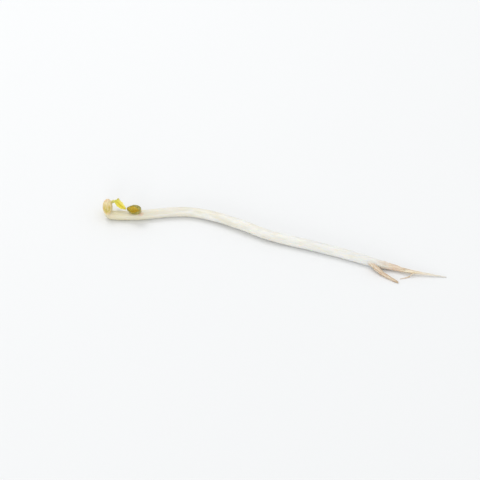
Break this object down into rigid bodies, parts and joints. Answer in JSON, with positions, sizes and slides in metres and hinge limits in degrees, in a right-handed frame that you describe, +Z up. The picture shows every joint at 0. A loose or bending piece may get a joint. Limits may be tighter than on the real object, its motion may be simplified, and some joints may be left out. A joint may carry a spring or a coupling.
{
  "type": "mung bean sprout",
  "caption": "Single fresh mung bean sprout lying down: thick white curved stem, thin tan root, hooked yellow head with seed leaves and first leaves, and a split olive seed coat.",
  "frame": {"origin": "middle of the object's box, on the surface that the sprout lies on", "axes": "+X from the hooked head to the root tip, +Z up from the surface, +Y across the stem"},
  "size_m": [0.118, 0.017, 0.0066],
  "materials": {
    "stem_skin": "moist waxy white plant skin, slightly translucent, turning tan to brown along the taproot",
    "cotyledon_skin": "drying, finely wrinkled tan-yellow seed leaf, satin",
    "leaf_blade": "tender bright yellow leaf, veined, soft sheen, translucent",
    "bud_skin": "pale yellow-green growing tip, satin",
    "seed_husk": "thin olive-green husk, glossy outside, golden brown inside",
    "root_skin": "thin tan to orange-brown root skin, matte"
  },
  "bodies": {
    "root": {"stem_with_taproot": "stem_skin", "cotyledon_front": "cotyledon_skin", "cotyledon_back": "cotyledon_skin", "first_leaf_front": "leaf_blade", "first_leaf_back": "leaf_blade", "terminal_bud": "bud_skin", "seed_coat": "seed_husk", "lateral_root_1": "root_skin", "lateral_root_2": "root_skin"}
  },
  "joints": []
}
